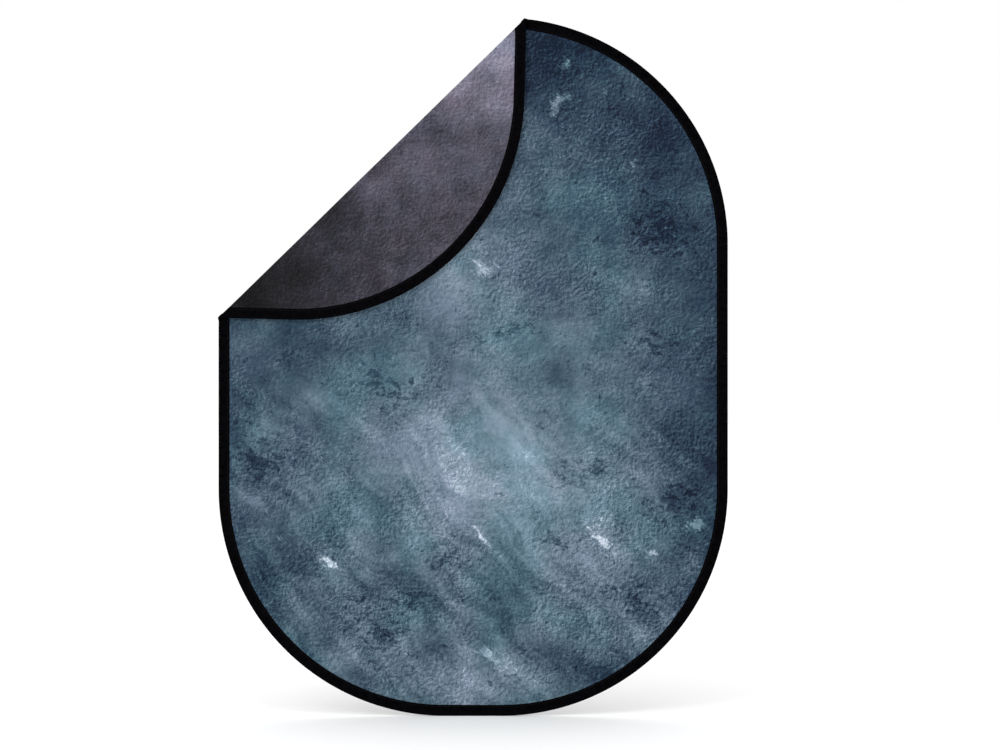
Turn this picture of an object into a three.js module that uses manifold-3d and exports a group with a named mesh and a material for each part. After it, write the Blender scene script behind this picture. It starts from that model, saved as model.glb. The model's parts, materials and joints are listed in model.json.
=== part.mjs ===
// Collapsible backdrop panel: two printed cloths sewn back to back inside a black edge binding,
// held taut by a spring-steel hoop. One top corner is turned over to show the reverse print.
// Millimetres, +Z up. The panel stands in the XZ plane with its front towards -Y, and the
// origin is under the middle of its bottom edge, half way through its thickness.
//
// Two terms are used throughout. An "inset" is a distance in from the outer edge of the panel.
// A "reach" is a distance square to the crease, growing towards the turned-over corner.

import * as THREE from 'three';
import { mergeVertices } from 'three/addons/utils/BufferGeometryUtils.js';
import Module from 'manifold-3d';

const wasm = await Module();
wasm.setup();

// Outline
const panelWidth = 1500;
const panelHeight = 2057;
const topStraight = 164; // straight stretch at the top and bottom, between the round corners
const arcSteps = 16; // facets in each round corner

// Cloth
const clothThickness = 0.6;
const clothSpacing = 0.8; // air between the two cloths

// Steel hoop and the sleeve that joins its ends
const bandWidth = 8;
const bandThickness = 1.2;
const bandEndGap = 1;
const sleeveLength = 90;
const sleeveWall = 0.6;
const rivetRadius = 1.5;
const rivetHeadRadius = 2.5;
const rivetHeadHeight = 0.6;
const rivetInset = 11; // outer rivets, from the sleeve's ends
const rivetPitch = 20; // between the two rivets that hold one end of the band

// Binding tape, folded over the edge
const tapeWidth = 32;
const tapeThickness = 0.8;
const tapeShoulder = 1.5; // rounding of the outer edge
const tapeTuck = 16; // inset at which the tape has come down onto the cloth

// Turned-over corner
const foldDown = 885; // top of the panel down to where the crease leaves the left side
const creaseAngle = THREE.MathUtils.degToRad(44.3); // above the horizontal
const foldGap = 2; // between the rims that lie over each other
const creaseSteps = 8;

// Half fold: a soft stretch right across the panel, which the lower part swings backwards from
const bendClearance = 24; // from the foot of the crease down to the top of the soft stretch
const bendLength = 240;

const clearance = 0.3; // between pieces that touch
const far = 3000; // past the panel on any side, for the shapes that cut it

// Stack of the edge, worked inwards from the outside of the tape
const cornerRadius = (panelWidth - topStraight) / 2;
const sleeveOuterInset = tapeThickness + clearance + rivetHeadHeight + clearance;
const bandOuterInset = sleeveOuterInset + sleeveWall + clearance;
const bandInnerInset = bandOuterInset + bandThickness;
const sleeveInnerInset = bandInnerInset + clearance + sleeveWall;
const clothInset = sleeveInnerInset + clearance + rivetHeadHeight + clearance;

// Half thicknesses, either side of the panel's middle plane
const bandHalf = bandWidth / 2;
const sleeveHalf = bandHalf + clearance + sleeveWall;
const rimInnerHalf = sleeveHalf + clearance;
const rimHalf = rimInnerHalf + tapeThickness;
const clothNear = clothSpacing / 2;
const clothFar = clothNear + clothThickness;
const tuckInnerHalf = clothFar + clearance;
const tuckHalf = tuckInnerHalf + tapeThickness;

// Crease: directions in the XZ plane, and how far out the roll of the fold starts
const alongCrease = new THREE.Vector2(Math.cos(creaseAngle), Math.sin(creaseAngle));
const acrossCrease = new THREE.Vector2(-Math.sin(creaseAngle), Math.cos(creaseAngle));
const creaseFoot = new THREE.Vector2(-panelWidth / 2, panelHeight - foldDown);
const creaseRadius = rimHalf + foldGap / 2;
const hingeReach = creaseFoot.dot(acrossCrease);
const rollStart = hingeReach - creaseRadius;
const rollEnd = hingeReach + creaseRadius;

// Heights between which the panel bends when it is folded in half
const bendTop = creaseFoot.y - bendClearance;
const bendBottom = bendTop - bendLength;

const frontPrint = new THREE.MeshStandardMaterial({ color: 0x4d6679, roughness: 0.9, metalness: 0 });
const reversePrint = new THREE.MeshStandardMaterial({ color: 0x4a4550, roughness: 0.9, metalness: 0 });
const blackTape = new THREE.MeshStandardMaterial({ color: 0x0c0c0e, roughness: 0.85, metalness: 0 });
const springSteel = new THREE.MeshStandardMaterial({ color: 0x777b80, roughness: 0.35, metalness: 1 });
const zincSteel = new THREE.MeshStandardMaterial({ color: 0xa9acad, roughness: 0.45, metalness: 1 });
const aluminium = new THREE.MeshStandardMaterial({ color: 0xc4c6c8, roughness: 0.4, metalness: 1 });

// ---------------------------------------------------------------- solids and cuts

function solidOf(geometry) {
  const bare = geometry.clone();
  bare.deleteAttribute('normal');
  bare.deleteAttribute('uv');
  const merged = mergeVertices(bare);
  const vertProperties = new Float32Array(merged.attributes.position.array);
  const triVerts = new Uint32Array(merged.index.array);
  return new wasm.Manifold(new wasm.Mesh({ numProp: 3, vertProperties, triVerts }));
}

function geometryOf(solid) {
  const { vertProperties, triVerts } = solid.getMesh();
  const indexed = new THREE.BufferGeometry();
  indexed.setAttribute('position', new THREE.BufferAttribute(vertProperties, 3));
  indexed.setIndex(new THREE.BufferAttribute(triVerts, 1));
  const geometry = indexed.toNonIndexed();
  geometry.computeVertexNormals();
  return geometry;
}

// Turns every triangle round if a closed geometry's faces point inwards
function facingOut(geometry) {
  const position = geometry.attributes.position;
  const index = geometry.index.array;
  const [a, b, c] = [new THREE.Vector3(), new THREE.Vector3(), new THREE.Vector3()];
  let volume = 0;
  for (let k = 0; k < index.length; k += 3) {
    a.fromBufferAttribute(position, index[k]);
    b.fromBufferAttribute(position, index[k + 1]);
    c.fromBufferAttribute(position, index[k + 2]);
    volume += a.dot(b.cross(c));
  }
  if (volume < 0) {
    for (let k = 0; k < index.length; k += 3) {
      [index[k], index[k + 1]] = [index[k + 1], index[k]];
    }
  }
  geometry.computeVertexNormals();
  return geometry;
}

// Closed skin over a run of sections that all have the same number of points. The run either
// closes on itself or ends in two flat faces, which `ends` lists as triangles of section points.
function skin(sections, ends = []) {
  const size = sections[0].length;
  const last = (sections.length - 1) * size;
  const index = [];
  const runs = ends.length ? sections.length - 1 : sections.length;
  for (let run = 0; run < runs; run++) {
    const here = run * size;
    const there = ((run + 1) % sections.length) * size;
    for (let k = 0; k < size; k++) {
      const next = (k + 1) % size;
      index.push(here + k, there + k, there + next);
      index.push(here + k, there + next, here + next);
    }
  }
  for (const [a, b, c] of ends) {
    index.push(a, b, c);
    index.push(last + a, last + c, last + b);
  }
  const geometry = new THREE.BufferGeometry().setFromPoints(sections.flat());
  geometry.setIndex(index);
  return geometry;
}

// Prism along X over a flat shape drawn in Y and Z
function prismAlongX(points, from, to) {
  const shape = new THREE.Shape(points.map(([y, z]) => new THREE.Vector2(y, z)));
  const prism = new THREE.ExtrudeGeometry(shape, { depth: to - from, bevelEnabled: false });
  const turn = new THREE.Matrix4().makeBasis(
    new THREE.Vector3(0, 1, 0),
    new THREE.Vector3(0, 0, 1),
    new THREE.Vector3(1, 0, 0),
  );
  prism.applyMatrix4(turn);
  prism.translate(from, 0, 0);
  return prism;
}

// Box between two reaches and two distances along the crease, through the whole thickness
function creaseBox(reachFrom, reachTo, alongFrom, alongTo) {
  const box = new THREE.BoxGeometry(alongTo - alongFrom, far, reachTo - reachFrom);
  box.translate((alongFrom + alongTo) / 2, 0, (reachFrom + reachTo) / 2);
  const turn = new THREE.Matrix4().makeBasis(
    new THREE.Vector3(alongCrease.x, 0, alongCrease.y),
    new THREE.Vector3(0, 1, 0),
    new THREE.Vector3(acrossCrease.x, 0, acrossCrease.y),
  );
  box.applyMatrix4(turn);
  return box;
}

// ---------------------------------------------------------------- the whole panel, flat

// Outer edge drawn in by `inset`, anticlockwise as seen from the front
function outline(inset) {
  const across = panelWidth / 2 - cornerRadius;
  const top = panelHeight - cornerRadius;
  const corners = [[across, cornerRadius], [across, top], [-across, top], [-across, cornerRadius]];
  const points = [];
  corners.forEach(([x, z], quarter) => {
    for (let step = 0; step <= arcSteps; step++) {
      const angle = (quarter - 1 + step / arcSteps) * (Math.PI / 2);
      const radius = cornerRadius - inset;
      points.push(new THREE.Vector2(x + radius * Math.cos(angle), z + radius * Math.sin(angle)));
    }
  });
  return points;
}

// Ring round the panel with a constant section, given as pairs of inset and y
function ring(profile) {
  const lanes = profile.map(([inset]) => outline(inset));
  const sections = lanes[0].map((_, k) =>
    profile.map(([, y], lane) => new THREE.Vector3(lanes[lane][k].x, y, lanes[lane][k].y)));
  return facingOut(skin(sections));
}

function clothSheet(side) {
  const middle = (side * (clothNear + clothFar)) / 2;
  const sheet = new THREE.ExtrudeGeometry(new THREE.Shape(outline(clothInset)), {
    depth: clothThickness,
    bevelEnabled: false,
  });
  sheet.rotateX(Math.PI / 2);
  sheet.translate(0, middle + clothThickness / 2, 0);
  return sheet;
}

// Section of the folded tape: a channel round the hoop that closes onto both cloths
function tapeProfile() {
  const outer = [
    [0, rimHalf - tapeShoulder],
    [tapeShoulder, rimHalf],
    [clothInset + tapeThickness, rimHalf],
    [tapeTuck, tuckHalf],
    [tapeWidth, tuckHalf],
  ];
  const inner = [
    [tapeWidth, tuckInnerHalf],
    [tapeTuck, tuckInnerHalf],
    [clothInset + tapeThickness, rimInnerHalf],
    [tapeThickness, rimInnerHalf],
  ];
  const back = [...outer, ...inner];
  const front = back.map(([inset, y]) => [inset, -y]).reverse();
  return [...back, ...front];
}

function bandProfile() {
  return [
    [bandOuterInset, bandHalf],
    [bandInnerInset, bandHalf],
    [bandInnerInset, -bandHalf],
    [bandOuterInset, -bandHalf],
  ];
}

// ---------------------------------------------------------------- stretches of the panel

// Everything between two heights, less half a clearance at each
function slab(bottom, top) {
  const low = bottom + clearance / 2;
  const high = top - clearance / 2;
  return solidOf(prismAlongX([[-far, low], [far, low], [far, high], [-far, high]], -far, far));
}

function slice(from, to) {
  return solidOf(prismAlongX([[-far, -far], [far, -far], [far, far], [-far, far]], from, to));
}

const leftSide = slice(-far, -bandEndGap / 2);
const rightSide = slice(bandEndGap / 2, far);

const panelSide = solidOf(creaseBox(-far, rollStart - clearance, -far, far));
const cornerSide = solidOf(creaseBox(rollEnd + clearance, far, -far, far));

// The two ends of the crease, by their places along it
const creaseEnds = [0, 1].map((end) => crossing(0, hingeReach, end).dot(alongCrease));
const creaseMiddle = (creaseEnds[0] + creaseEnds[1]) / 2;
const footSide = solidOf(creaseBox(-far, far, -far, creaseMiddle));
const headSide = solidOf(creaseBox(-far, far, creaseMiddle, far));

const upperPart = slab(bendTop, far).intersect(panelSide);
const bendPart = slab(bendBottom, bendTop);
const lowerPart = slab(-far, bendBottom);

// ---------------------------------------------------------------- the roll of the crease

// Point at which the edge drawn in by `inset` passes a reach: end 0 is on the left, 1 at the top
function crossing(inset, reach, end) {
  const points = outline(inset);
  const found = [];
  points.forEach((a, k) => {
    const b = points[(k + 1) % points.length];
    const before = a.dot(acrossCrease) - reach;
    const after = b.dot(acrossCrease) - reach;
    if (before < 0 !== after < 0) {
      found.push(a.clone().lerp(b, before / (before - after)));
    }
  });
  found.sort((a, b) => a.dot(alongCrease) - b.dot(alongCrease));
  return found[end];
}

// Place of a flat point once the cloth is rolled forwards through half a turn
function rolled(point, y) {
  const angle = (Math.PI * (point.dot(acrossCrease) - rollStart)) / (rollEnd - rollStart);
  const reach = rollStart + (creaseRadius + y) * Math.sin(angle);
  const flat = acrossCrease.clone().multiplyScalar(reach);
  flat.addScaledVector(alongCrease, point.dot(alongCrease));
  return new THREE.Vector3(flat.x, (creaseRadius + y) * Math.cos(angle) - creaseRadius, flat.y);
}

// Roll over the crease. Each corner of its section is an inset, a y and an end of the crease.
function creaseRoll(corners) {
  const flat = corners.map(([inset, y, end]) => new THREE.Vector2(end ? far - inset : inset, y));
  if (THREE.ShapeUtils.isClockWise(flat)) {
    return creaseRoll([...corners].reverse());
  }
  const sections = [];
  for (let step = 0; step <= creaseSteps; step++) {
    const reach = THREE.MathUtils.lerp(rollStart, rollEnd, step / creaseSteps);
    sections.push(corners.map(([inset, y, end]) => rolled(crossing(inset, reach, end), y)));
  }
  return facingOut(skin(sections, THREE.ShapeUtils.triangulateShape(flat, [])));
}

function clothRoll(side) {
  const near = side * clothNear;
  const away = side * clothFar;
  return creaseRoll([
    [clothInset, near, 0],
    [clothInset, near, 1],
    [clothInset, away, 1],
    [clothInset, away, 0],
  ]);
}

function rimRoll(profile, end) {
  return creaseRoll(profile.map(([inset, y]) => [inset, y, end]));
}

// ---------------------------------------------------------------- the join in the hoop

const rivetPlaces = [-1, 1].flatMap((side) => [0, 1].map((k) =>
  side * (sleeveLength / 2 - rivetInset - k * rivetPitch)));

function rivetHoles() {
  const holes = rivetPlaces.map((x) => {
    const radius = rivetRadius + clearance;
    const hole = new THREE.CylinderGeometry(radius, radius, 2 * tapeTuck, 24);
    hole.rotateX(Math.PI / 2);
    hole.translate(x, 0, 0);
    return solidOf(hole);
  });
  return holes.reduce((all, hole) => all.add(hole));
}

// Flat steel tube that the two ends of the band meet inside
function sleeve() {
  const box = (half, low, high) => [[-half, low], [half, low], [half, high], [-half, high]];
  const bore = bandHalf + clearance;
  const outside = box(sleeveHalf, sleeveOuterInset, sleeveInnerInset);
  const inside = box(bore, sleeveOuterInset + sleeveWall, sleeveInnerInset - sleeveWall);
  const tube = solidOf(prismAlongX(outside, -sleeveLength / 2, sleeveLength / 2));
  return tube.subtract(solidOf(prismAlongX(inside, -far, far))).subtract(rivetHoles());
}

// Rivet with a shallow head on each side of the sleeve, turned about its own axis
function rivet() {
  const headUnder = sleeveInnerInset - sleeveOuterInset + 2 * clearance;
  const top = headUnder / 2 + rivetHeadHeight;
  const half = [[0, top], [rivetHeadRadius * 0.7, top], [rivetHeadRadius, top - rivetHeadHeight / 2],
    [rivetHeadRadius, headUnder / 2], [rivetRadius, headUnder / 2]];
  const turned = [...half, ...half.map(([r, h]) => [r, -h]).reverse()].reverse();
  const geometry = new THREE.LatheGeometry(turned.map(([r, h]) => new THREE.Vector2(r, h)), 20);
  geometry.rotateX(Math.PI / 2);
  return geometry;
}

// ---------------------------------------------------------------- assembly

const frontSheet = solidOf(clothSheet(-1));
const backSheet = solidOf(clothSheet(1));
const binding = solidOf(ring(tapeProfile()));
const hoop = solidOf(ring(bandProfile()));

const panel = new THREE.Group();

function add(name, geometry, material, group = panel) {
  const mesh = new THREE.Mesh(geometry, material);
  mesh.name = name;
  group.add(mesh);
  return mesh;
}

function addCloths(name, part, group) {
  add(`${name}_front_cloth`, geometryOf(frontSheet.intersect(part)), frontPrint, group);
  add(`${name}_back_cloth`, geometryOf(backSheet.intersect(part)), reversePrint, group);
}

function addRim(name, part, group) {
  add(`${name}_binding`, geometryOf(binding.intersect(part)), blackTape, group);
  add(`${name}_hoop`, geometryOf(hoop.intersect(part)), springSteel, group);
}

addCloths('upper', upperPart);
addRim('upper_left', upperPart.intersect(footSide));
addRim('upper_right', upperPart.intersect(headSide));

addCloths('bend', bendPart);
addRim('bend_left', bendPart.intersect(leftSide));
addRim('bend_right', bendPart.intersect(rightSide));

addCloths('lower', lowerPart);
add('lower_binding', geometryOf(binding.intersect(lowerPart)), blackTape);
const lowerHoop = hoop.intersect(lowerPart).subtract(rivetHoles());
add('lower_left_hoop', geometryOf(lowerHoop.intersect(leftSide)), springSteel);
add('lower_right_hoop', geometryOf(lowerHoop.intersect(rightSide)), springSteel);

add('hoop_sleeve', geometryOf(sleeve()), zincSteel);
rivetPlaces.forEach((x, k) => {
  const piece = add(`sleeve_rivet_${k + 1}`, rivet(), aluminium);
  piece.position.set(x, 0, (sleeveOuterInset + sleeveInnerInset) / 2);
});

// The corner is cut flat, then swung forwards through half a turn about the crease
const hinge = new THREE.Group();
hinge.position.set(creaseFoot.x, -creaseRadius, creaseFoot.y);
hinge.quaternion.setFromAxisAngle(new THREE.Vector3(alongCrease.x, 0, alongCrease.y), Math.PI);
const corner = new THREE.Group();
corner.position.copy(hinge.position).negate();
hinge.add(corner);
panel.add(hinge);
addCloths('corner', cornerSide, corner);
addRim('corner', cornerSide, corner);

add('crease_front_cloth', clothRoll(-1), frontPrint);
add('crease_back_cloth', clothRoll(1), reversePrint);
['left', 'top'].forEach((name, end) => {
  add(`crease_${name}_binding`, rimRoll(tapeProfile(), end), blackTape);
  add(`crease_${name}_hoop`, rimRoll(bandProfile(), end), springSteel);
});

export default panel;
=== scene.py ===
"""Collapsible backdrop panel: two printed cloths on a sprung steel hoop inside a black edge binding.

The cloths, binding, hoop and stitches are each built flat and whole, as they are cut and sewn, then
rolled over the crease of the turned-over corner. Each comes in two lengths: an upper one that turns
over with the corner, and a lower one that takes in the height where the panel folds in half. They
meet at a height where neither moves. Sizes are in metres. "Inset" is the distance in from the panel's
outer edge, "length" the distance round that edge, and "reach" the distance square to the crease,
growing towards the turned-over corner.
"""
import json
import math

import bmesh
import bpy
import numpy as np
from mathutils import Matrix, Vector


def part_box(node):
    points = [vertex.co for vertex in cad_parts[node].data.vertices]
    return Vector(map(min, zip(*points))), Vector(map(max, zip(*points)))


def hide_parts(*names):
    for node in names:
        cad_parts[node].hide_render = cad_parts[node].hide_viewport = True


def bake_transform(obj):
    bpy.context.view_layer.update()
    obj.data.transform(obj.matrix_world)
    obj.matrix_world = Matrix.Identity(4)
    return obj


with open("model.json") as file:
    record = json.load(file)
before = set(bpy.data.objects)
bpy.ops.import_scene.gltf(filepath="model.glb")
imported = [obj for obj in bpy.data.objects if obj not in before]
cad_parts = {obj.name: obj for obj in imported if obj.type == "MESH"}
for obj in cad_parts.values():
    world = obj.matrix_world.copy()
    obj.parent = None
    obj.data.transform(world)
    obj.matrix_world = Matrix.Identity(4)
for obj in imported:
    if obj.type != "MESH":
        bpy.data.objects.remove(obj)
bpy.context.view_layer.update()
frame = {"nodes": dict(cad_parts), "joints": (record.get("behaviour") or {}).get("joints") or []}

MM = 0.001

# ---------------------------------------------------------------- sizes, from the frame
joints = {joint["name"]: joint for joint in frame["joints"]}
tape_low, tape_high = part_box("lower_binding")
cloth_low, cloth_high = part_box("lower_front_cloth")
bend_low, bend_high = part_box("bend_front_cloth")
bend_tape_low, bend_tape_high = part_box("bend_left_binding")
bend_hoop_low, bend_hoop_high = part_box("bend_right_hoop")

PANEL_WIDTH = tape_high.x - tape_low.x
PANEL_HEIGHT = 2.057
TOP_STRAIGHT = 0.164
CORNER_RADIUS = (PANEL_WIDTH - TOP_STRAIGHT) / 2
CORNER_ARC = CORNER_RADIUS * math.pi / 2
STRAIGHT_RISE = PANEL_HEIGHT - 2 * CORNER_RADIUS
EDGE_LENGTH = 2 * TOP_STRAIGHT + 2 * STRAIGHT_RISE + 4 * CORNER_ARC

TAPE_WIDTH = bend_tape_high.x - bend_tape_low.x
RIM_HALF = tape_high.y
TAPE_THICK = 0.8 * MM
TAPE_HALF = 2.1 * MM
RIM_REACH = 7 * MM
TAPE_TUCK = TAPE_WIDTH / 2
SEAM_INSET = TAPE_WIDTH - 5 * MM

CLOTH_INSET = cloth_low.x - tape_low.x
CLOTH_OUTSIDE = -cloth_low.y
CLOTH_INSIDE = -cloth_high.y

HOOP_HALF = bend_hoop_high.y
HOOP_INSETS = (tape_high.x - bend_hoop_high.x, tape_high.x - bend_hoop_low.x)

# The panel bends between these two heights when it folds in half
BEND_TOP = (bend_high.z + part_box("upper_front_cloth")[0].z) / 2
BEND_BOTTOM = (bend_low.z + cloth_high.z) / 2

# The crease of the turned-over corner, from its joint
crease = joints["corner_fold"]
ALONG = -np.array([crease["axis"][0], crease["axis"][2]])
ACROSS = np.array([-ALONG[1], ALONG[0]])
ROLL = -crease["pos_m"][1]
HINGE = float(np.dot([crease["pos_m"][0], crease["pos_m"][2]], ACROSS))
ROLL_CUTS = 12

CLOTH_STEP = 10 * MM
CLOTH_COLUMNS = 150
RIM_STEP = 7 * MM


# ---------------------------------------------------------------- shape of the panel
def edge_point(length):
    """Places on the outer edge at lengths round it from the bottom middle, and the way in at each."""
    runs = [
        (TOP_STRAIGHT / 2, (1, 0)),
        (STRAIGHT_RISE, (0, 1)),
        (TOP_STRAIGHT, (-1, 0)),
        (STRAIGHT_RISE, (0, -1)),
        (TOP_STRAIGHT / 2, (1, 0)),
    ]
    length = length % EDGE_LENGTH
    centre = np.tile((0, CORNER_RADIUS), (len(length), 1)).astype(float)
    turn = np.zeros(len(length))
    start = 0
    for run, way in runs:
        centre += np.clip(length - start, 0, run)[:, None] * way
        turn += np.clip(length - start - run, 0, CORNER_ARC) / CORNER_RADIUS
        start += run + CORNER_ARC
    inward = np.column_stack([-np.sin(turn), np.cos(turn)])
    return centre - CORNER_RADIUS * inward, inward


def edge_place(x, z):
    """Length round the outer edge to the spot nearest each place, and the place's inset from it."""
    across = np.clip(x, -TOP_STRAIGHT / 2, TOP_STRAIGHT / 2)
    up = np.clip(z - CORNER_RADIUS, 0, STRAIGHT_RISE)
    out_x = x - across
    out_z = z - CORNER_RADIUS - up
    turn = np.arctan2(out_x, -out_z) % (2 * math.pi)
    right_runs = across + up
    left_runs = TOP_STRAIGHT - across + 2 * STRAIGHT_RISE - up
    length = CORNER_RADIUS * turn + np.where(turn < math.pi, right_runs, left_runs)
    bottom_left = (turn == 0) & (x < 0)
    length = np.where(bottom_left, EDGE_LENGTH + x, length)
    return length, CORNER_RADIUS - np.hypot(out_x, out_z)


def side_length(height, left=False):
    """Length round the edge to a height on the straight right or left side."""
    right = TOP_STRAIGHT / 2 + CORNER_ARC + height - CORNER_RADIUS
    return EDGE_LENGTH - right if left else right


def folded(flat):
    """Places on the unfolded panel, moved to where they are with the corner turned over."""
    reach = flat[:, [0, 2]] @ ACROSS
    along = flat[:, [0, 2]] @ ALONG
    start = HINGE - ROLL
    turn = np.pi * np.clip((reach - start) / (2 * ROLL), 0, 1)
    # The rim is pinched thinner where it is creased
    flat_y = flat[:, 1] * (1 - 0.55 * ease(np.abs(reach - HINGE), 24 * MM, 6 * MM))
    radius = ROLL + flat_y
    on_roll = reach > start
    on_flap = reach > HINGE + ROLL
    y = np.where(on_roll, radius * np.cos(turn) - ROLL, flat_y)
    new_reach = np.where(on_roll, start + radius * np.sin(turn), reach)
    new_reach = np.where(on_flap, 2 * HINGE - reach, new_reach)
    plan = new_reach[:, None] * ACROSS + along[:, None] * ALONG
    return np.column_stack([plan[:, 0], y, plan[:, 1]])


def ease(value, start, end):
    """Smooth step from 0 at start to 1 at end."""
    t = np.clip((value - start) / (end - start), 0, 1)
    return t * t * (3 - 2 * t)


def cloth_swell(x, z):
    """How far the sprung cloths stand off their plane: slack waves inside, small puckers at the seam."""
    length, inset = edge_place(x, z)
    waves = 0.9 * np.sin(5.1 * x + 2.3 * z + 0.7) * np.sin(3.7 * z - 1.9 * x)
    waves += 0.5 * np.sin(9.3 * x - 6.1 * z + 1.1)
    waves += 0.35 * np.sin(14.7 * z + 8.3 * x)
    puckers = np.sin(length * 2 * math.pi / 0.062 + 2.1 * np.sin(length * 7.3))
    puckers *= 0.6 + 0.4 * np.sin(length * 3.9)
    seam = ease(inset, 34 * MM, 46 * MM) * ease(inset, 110 * MM, 50 * MM)
    return MM * (waves * ease(inset, 36 * MM, 160 * MM) + 0.6 * puckers * seam)


# ---------------------------------------------------------------- meshes
def sharpen(bm, limit=40):
    """Shade smooth, apart from edges that turn more than the limit in degrees."""
    for face in bm.faces:
        face.smooth = True
    for edge in bm.edges:
        edge.smooth = len(edge.link_faces) < 2 or edge.calc_face_angle(0) < math.radians(limit)


def new_piece(name, points, faces, material, pattern, swell=None, rolls=False):
    """Close a flat-built piece, give it its pattern map, roll it over the crease, and add it."""
    mesh = bpy.data.meshes.new(name)
    mesh.from_pydata(points.tolist(), [], faces)
    bm = bmesh.new()
    bm.from_mesh(mesh)
    if rolls:
        for k in range(ROLL_CUTS + 1):
            reach = HINGE - ROLL + 2 * ROLL * k / ROLL_CUTS
            bmesh.ops.bisect_plane(
                bm,
                geom=[*bm.verts, *bm.edges, *bm.faces],
                dist=1e-7,
                plane_co=(ACROSS[0] * reach, 0, ACROSS[1] * reach),
                plane_no=(ACROSS[0], 0, ACROSS[1]),
            )
    bm.verts.index_update()
    flat = np.array([vert.co[:] for vert in bm.verts])
    mapped = pattern(flat)
    layer = bm.loops.layers.uv.new("Pattern")
    for face in bm.faces:
        for loop in face.loops:
            loop[layer].uv = mapped[loop.vert.index]
    if swell:
        flat[:, 1] += swell(flat[:, 0], flat[:, 2])
    placed = folded(flat) if rolls else flat
    for vert, place in zip(bm.verts, placed):
        vert.co = place
    bmesh.ops.recalc_face_normals(bm, faces=bm.faces)
    sharpen(bm)
    bm.to_mesh(mesh)
    bm.free()
    piece = bpy.data.objects.new(name, mesh)
    bpy.context.scene.collection.objects.link(piece)
    mesh.materials.append(material)
    return piece


def cloth_heights():
    """Heights of the rows of a cloth: even steps of turn round the corners, of height between them."""
    radius = CORNER_RADIUS - CLOTH_INSET
    turns = np.linspace(0, math.pi / 2, round(radius * math.pi / 2 / CLOTH_STEP) + 1)
    rows = [CORNER_RADIUS - radius * np.cos(turns)]
    stops = [CORNER_RADIUS, BEND_BOTTOM, BEND_TOP, CORNER_RADIUS + STRAIGHT_RISE]
    for low, high in zip(stops, stops[1:]):
        rows.append(np.linspace(low, high, round((high - low) / CLOTH_STEP) + 1)[1:])
    rows.append(CORNER_RADIUS + STRAIGHT_RISE + radius * np.sin(turns[1:]))
    return np.concatenate(rows)


def cloth_map(flat):
    """Pattern map of a cloth: across and up the unfolded panel, in metres."""
    return flat[:, [0, 2]]


def edge_map(flat):
    """Pattern map of the rim's pieces: length round the edge, and distance round the section."""
    length, inset = edge_place(flat[:, 0], flat[:, 2])
    low = flat[:, 2] < BEND_TOP + MM
    length = np.where(low & (length > EDGE_LENGTH / 2), length - EDGE_LENGTH, length)
    return np.column_stack([length, np.copysign(inset, flat[:, 1]) + flat[:, 1]])


def cloth(name, heights, side, material, rolls):
    """One printed cloth over a run of heights; side is -1 for the front and 1 for the back."""
    radius = CORNER_RADIUS - CLOTH_INSET
    rise = heights - CORNER_RADIUS - np.clip(heights - CORNER_RADIUS, 0, STRAIGHT_RISE)
    half = TOP_STRAIGHT / 2 + np.sqrt(np.maximum(radius**2 - rise**2, 0))
    x = half[:, None] * np.linspace(-1, 1, CLOTH_COLUMNS + 1)
    z = np.repeat(heights[:, None], CLOTH_COLUMNS + 1, axis=1)
    count = x.size
    grid = np.arange(count).reshape(x.shape)
    quads = np.stack([grid[:-1, :-1], grid[:-1, 1:], grid[1:, 1:], grid[1:, :-1]], axis=-1)
    quads = quads.reshape(-1, 4)
    rim = np.concatenate([grid[0], grid[1:, -1], grid[-1, -2::-1], grid[-2:0:-1, 0]])
    after = np.roll(rim, -1)
    walls = np.column_stack([rim, rim + count, after + count, after])
    faces = np.concatenate([quads, quads[:, ::-1] + count, walls]).tolist()
    layers = [side * CLOTH_OUTSIDE, side * CLOTH_INSIDE]
    points = [np.column_stack([x.ravel(), np.full(count, y), z.ravel()]) for y in layers]
    piece = new_piece(name, np.concatenate(points), faces, material, cloth_map, cloth_swell, rolls)
    return piece


def swept(name, runs, section, material, rolls):
    """A section of (inset, y) points carried round the edge over each (start, end) length."""
    points = []
    faces = []
    size = len(section)
    inset, y = np.array(section).T
    for start, end in runs:
        steps = max(1, round((end - start) / RIM_STEP))
        places, inward = edge_point(np.linspace(start, end, steps + 1))
        base = sum(len(placed) for placed in points)
        plan = places[:, None] + inset[None, :, None] * inward[:, None]
        ring = np.concatenate([plan, np.broadcast_to(y[None, :, None], (*plan.shape[:2], 1))], axis=-1)
        points.append(ring.reshape(-1, 3)[:, [0, 2, 1]])
        index = base + np.arange((steps + 1) * size).reshape(steps + 1, size)
        after = np.roll(index, -1, axis=1)
        quads = np.stack([index[:-1], after[:-1], after[1:], index[1:]], axis=-1)
        faces += quads.reshape(-1, 4).tolist()
        faces += [index[0, ::-1].tolist(), index[-1].tolist()]
    return new_piece(name, np.concatenate(points), faces, material, edge_map, rolls=rolls)


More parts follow.
